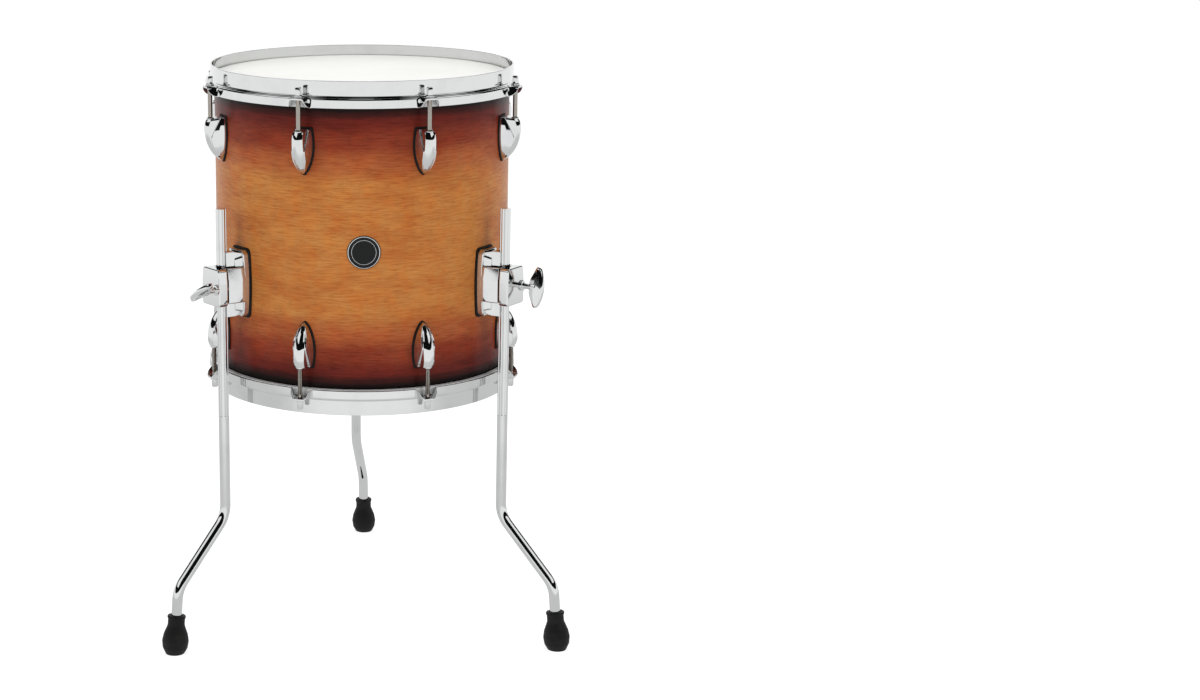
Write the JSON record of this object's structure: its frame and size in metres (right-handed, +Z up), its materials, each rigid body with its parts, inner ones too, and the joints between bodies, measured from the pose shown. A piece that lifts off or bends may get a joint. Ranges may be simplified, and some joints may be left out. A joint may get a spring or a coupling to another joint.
{
  "type": "floor tom",
  "caption": "Floor tom: a sunburst wooden shell with flanged hoops, teardrop lugs and tension rods at both ends, on bent legs that slide in wing-screw clamps.",
  "frame": {"origin": "middle of the object's box in plan, on the floor that the rubber feet stand on", "axes": "+Z up through the drum, towards the playing surface; -Y towards the front, where the badge is; +X to the right seen from the front"},
  "size_m": [0.4904, 0.4948, 0.6877],
  "materials": {
    "shell_wood": "satin lacquer over maple, amber in the middle and dark red-brown towards both ends",
    "badge_enamel": "black enamel with a thin bright ring",
    "chrome_hardware": "polished chrome plate",
    "rod_steel": "plated steel, a little duller on the threads",
    "flesh_hoop_aluminium": "plain rolled aluminium",
    "white_film": "smooth white film with a soft gloss, in which the hoop shows",
    "clear_film": "clear polyester film",
    "black_rubber": "moulded black rubber"
  },
  "bodies": {
    "drum": {"shell": "shell_wood", "badge": "badge_enamel", "vent_eyelet": "chrome_hardware", "batter_lug_1": "chrome_hardware", "batter_lug_2": "chrome_hardware", "batter_lug_3": "chrome_hardware", "batter_lug_4": "chrome_hardware", "batter_lug_5": "chrome_hardware", "batter_lug_6": "chrome_hardware", "batter_lug_7": "chrome_hardware", "batter_lug_8": "chrome_hardware", "reso_lug_1": "chrome_hardware", "reso_lug_2": "chrome_hardware", "reso_lug_3": "chrome_hardware", "reso_lug_4": "chrome_hardware", "reso_lug_5": "chrome_hardware", "reso_lug_6": "chrome_hardware", "reso_lug_7": "chrome_hardware", "reso_lug_8": "chrome_hardware", "left_bracket_gasket": "black_rubber", "left_leg_bracket": "chrome_hardware", "right_bracket_gasket": "black_rubber", "right_leg_bracket": "chrome_hardware", "rear_bracket_gasket": "black_rubber", "rear_leg_bracket": "chrome_hardware"},
    "batter_head": {"batter_head_film": "white_film", "batter_flesh_hoop": "flesh_hoop_aluminium", "batter_hoop": "chrome_hardware"},
    "reso_head": {"reso_head_film": "clear_film", "reso_flesh_hoop": "flesh_hoop_aluminium", "reso_hoop": "chrome_hardware"},
    "batter_rod_1": {"batter_tension_rod_1": "rod_steel"},
    "batter_rod_2": {"batter_tension_rod_2": "rod_steel"},
    "batter_rod_3": {"batter_tension_rod_3": "rod_steel"},
    "batter_rod_4": {"batter_tension_rod_4": "rod_steel"},
    "batter_rod_5": {"batter_tension_rod_5": "rod_steel"},
    "batter_rod_6": {"batter_tension_rod_6": "rod_steel"},
    "batter_rod_7": {"batter_tension_rod_7": "rod_steel"},
    "batter_rod_8": {"batter_tension_rod_8": "rod_steel"},
    "reso_rod_1": {"reso_tension_rod_1": "rod_steel"},
    "reso_rod_2": {"reso_tension_rod_2": "rod_steel"},
    "reso_rod_3": {"reso_tension_rod_3": "rod_steel"},
    "reso_rod_4": {"reso_tension_rod_4": "rod_steel"},
    "reso_rod_5": {"reso_tension_rod_5": "rod_steel"},
    "reso_rod_6": {"reso_tension_rod_6": "rod_steel"},
    "reso_rod_7": {"reso_tension_rod_7": "rod_steel"},
    "reso_rod_8": {"reso_tension_rod_8": "rod_steel"},
    "left_leg_body": {"left_leg": "chrome_hardware", "left_foot": "black_rubber"},
    "right_leg_body": {"right_leg": "chrome_hardware", "right_foot": "black_rubber"},
    "rear_leg_body": {"rear_leg": "chrome_hardware", "rear_foot": "black_rubber"},
    "left_cap": {"left_clamp_cap": "chrome_hardware"},
    "right_cap": {"right_clamp_cap": "chrome_hardware"},
    "rear_cap": {"rear_clamp_cap": "chrome_hardware"},
    "left_screw": {"left_wing_screw": "chrome_hardware"},
    "right_screw": {"right_wing_screw": "chrome_hardware"},
    "rear_screw": {"rear_wing_screw": "chrome_hardware"}
  },
  "joints": [
    {"name": "batter_head_lift", "type": "slide", "parent": "drum", "child": "batter_head", "axis": [0, 0, 1], "range_m": [0, 0.0127]},
    {"name": "batter_rod_1_turn", "type": "hinge", "parent": "batter_head", "child": "batter_rod_1", "pos_m": [0.07107, -0.23469, 0.64], "axis": [0, 0, 1], "range_deg": [0, 4320]},
    {"name": "batter_rod_2_turn", "type": "hinge", "parent": "batter_head", "child": "batter_rod_2", "pos_m": [0.17628, -0.12948, 0.64], "axis": [0, 0, 1], "range_deg": [0, 4320]},
    {"name": "batter_rod_3_turn", "type": "hinge", "parent": "batter_head", "child": "batter_rod_3", "pos_m": [0.17628, 0.0193, 0.64], "axis": [0, 0, 1], "range_deg": [0, 4320]},
    {"name": "batter_rod_4_turn", "type": "hinge", "parent": "batter_head", "child": "batter_rod_4", "pos_m": [0.07107, 0.12451, 0.64], "axis": [0, 0, 1], "range_deg": [0, 4320]},
    {"name": "batter_rod_5_turn", "type": "hinge", "parent": "batter_head", "child": "batter_rod_5", "pos_m": [-0.07772, 0.12451, 0.64], "axis": [0, 0, 1], "range_deg": [0, 4320]},
    {"name": "batter_rod_6_turn", "type": "hinge", "parent": "batter_head", "child": "batter_rod_6", "pos_m": [-0.18293, 0.0193, 0.64], "axis": [0, 0, 1], "range_deg": [0, 4320]},
    {"name": "batter_rod_7_turn", "type": "hinge", "parent": "batter_head", "child": "batter_rod_7", "pos_m": [-0.18293, -0.12948, 0.64], "axis": [0, 0, 1], "range_deg": [0, 4320]},
    {"name": "batter_rod_8_turn", "type": "hinge", "parent": "batter_head", "child": "batter_rod_8", "pos_m": [-0.07772, -0.23469, 0.64], "axis": [0, 0, 1], "range_deg": [0, 4320]},
    {"name": "reso_head_drop", "type": "slide", "parent": "drum", "child": "reso_head", "axis": [0, 0, -1], "range_m": [0, 0.0127]},
    {"name": "reso_rod_1_turn", "type": "hinge", "parent": "reso_head", "child": "reso_rod_1", "pos_m": [0.07107, -0.23469, 0.344], "axis": [0, 0, -1], "range_deg": [0, 4320]},
    {"name": "reso_rod_2_turn", "type": "hinge", "parent": "reso_head", "child": "reso_rod_2", "pos_m": [0.17628, -0.12948, 0.344], "axis": [0, 0, -1], "range_deg": [0, 4320]},
    {"name": "reso_rod_3_turn", "type": "hinge", "parent": "reso_head", "child": "reso_rod_3", "pos_m": [0.17628, 0.0193, 0.344], "axis": [0, 0, -1], "range_deg": [0, 4320]},
    {"name": "reso_rod_4_turn", "type": "hinge", "parent": "reso_head", "child": "reso_rod_4", "pos_m": [0.07107, 0.12451, 0.344], "axis": [0, 0, -1], "range_deg": [0, 4320]},
    {"name": "reso_rod_5_turn", "type": "hinge", "parent": "reso_head", "child": "reso_rod_5", "pos_m": [-0.07772, 0.12451, 0.344], "axis": [0, 0, -1], "range_deg": [0, 4320]},
    {"name": "reso_rod_6_turn", "type": "hinge", "parent": "reso_head", "child": "reso_rod_6", "pos_m": [-0.18293, 0.0193, 0.344], "axis": [0, 0, -1], "range_deg": [0, 4320]},
    {"name": "reso_rod_7_turn", "type": "hinge", "parent": "reso_head", "child": "reso_rod_7", "pos_m": [-0.18293, -0.12948, 0.344], "axis": [0, 0, -1], "range_deg": [0, 4320]},
    {"name": "reso_rod_8_turn", "type": "hinge", "parent": "reso_head", "child": "reso_rod_8", "pos_m": [-0.07772, -0.23469, 0.344], "axis": [0, 0, -1], "range_deg": [0, 4320]},
    {"name": "left_leg_slide", "type": "slide", "parent": "drum", "child": "left_leg_body", "axis": [0, 0, 1], "range_m": [-0.04, 0.2]},
    {"name": "right_leg_slide", "type": "slide", "parent": "drum", "child": "right_leg_body", "axis": [0, 0, 1], "range_m": [-0.04, 0.2]},
    {"name": "rear_leg_slide", "type": "slide", "parent": "drum", "child": "rear_leg_body", "axis": [0, 0, 1], "range_m": [-0.04, 0.2]},
    {"name": "left_cap_slide", "type": "slide", "parent": "drum", "child": "left_cap", "axis": [-0.809, -0.5878, 0], "range_m": [0, 0.0025]},
    {"name": "right_cap_slide", "type": "slide", "parent": "drum", "child": "right_cap", "axis": [0.809, -0.5878, 0], "range_m": [0, 0.0025]},
    {"name": "rear_cap_slide", "type": "slide", "parent": "drum", "child": "rear_cap", "axis": [-0.0262, 0.9997, 0], "range_m": [0, 0.0025]},
    {"name": "left_screw_turn", "type": "hinge", "parent": "left_cap", "child": "left_screw", "pos_m": [-0.17771, -0.19786, 0.438], "axis": [-0.809, -0.5878, 0], "range_deg": [0, 720]},
    {"name": "right_screw_turn", "type": "hinge", "parent": "right_cap", "child": "right_screw", "pos_m": [0.18635, -0.17682, 0.438], "axis": [0.809, -0.5878, 0], "range_deg": [0, 720]},
    {"name": "rear_screw_turn", "type": "hinge", "parent": "rear_cap", "child": "rear_screw", "pos_m": [-0.02221, 0.16949, 0.438], "axis": [-0.0262, 0.9997, 0], "range_deg": [0, 720]}
  ],
  "couplings": [
    {"joint": "batter_rod_1_turn", "follows": "batter_head_lift", "rad_per_m": 5936.8},
    {"joint": "batter_rod_2_turn", "follows": "batter_head_lift", "rad_per_m": 5936.8},
    {"joint": "batter_rod_3_turn", "follows": "batter_head_lift", "rad_per_m": 5936.8},
    {"joint": "batter_rod_4_turn", "follows": "batter_head_lift", "rad_per_m": 5936.8},
    {"joint": "batter_rod_5_turn", "follows": "batter_head_lift", "rad_per_m": 5936.8},
    {"joint": "batter_rod_6_turn", "follows": "batter_head_lift", "rad_per_m": 5936.8},
    {"joint": "batter_rod_7_turn", "follows": "batter_head_lift", "rad_per_m": 5936.8},
    {"joint": "batter_rod_8_turn", "follows": "batter_head_lift", "rad_per_m": 5936.8},
    {"joint": "reso_rod_1_turn", "follows": "reso_head_drop", "rad_per_m": 5936.8},
    {"joint": "reso_rod_2_turn", "follows": "reso_head_drop", "rad_per_m": 5936.8},
    {"joint": "reso_rod_3_turn", "follows": "reso_head_drop", "rad_per_m": 5936.8},
    {"joint": "reso_rod_4_turn", "follows": "reso_head_drop", "rad_per_m": 5936.8},
    {"joint": "reso_rod_5_turn", "follows": "reso_head_drop", "rad_per_m": 5936.8},
    {"joint": "reso_rod_6_turn", "follows": "reso_head_drop", "rad_per_m": 5936.8},
    {"joint": "reso_rod_7_turn", "follows": "reso_head_drop", "rad_per_m": 5936.8},
    {"joint": "reso_rod_8_turn", "follows": "reso_head_drop", "rad_per_m": 5936.8},
    {"joint": "left_screw_turn", "follows": "left_cap_slide", "rad_per_m": 5026.5},
    {"joint": "right_screw_turn", "follows": "right_cap_slide", "rad_per_m": 5026.5},
    {"joint": "rear_screw_turn", "follows": "rear_cap_slide", "rad_per_m": 5026.5}
  ]
}
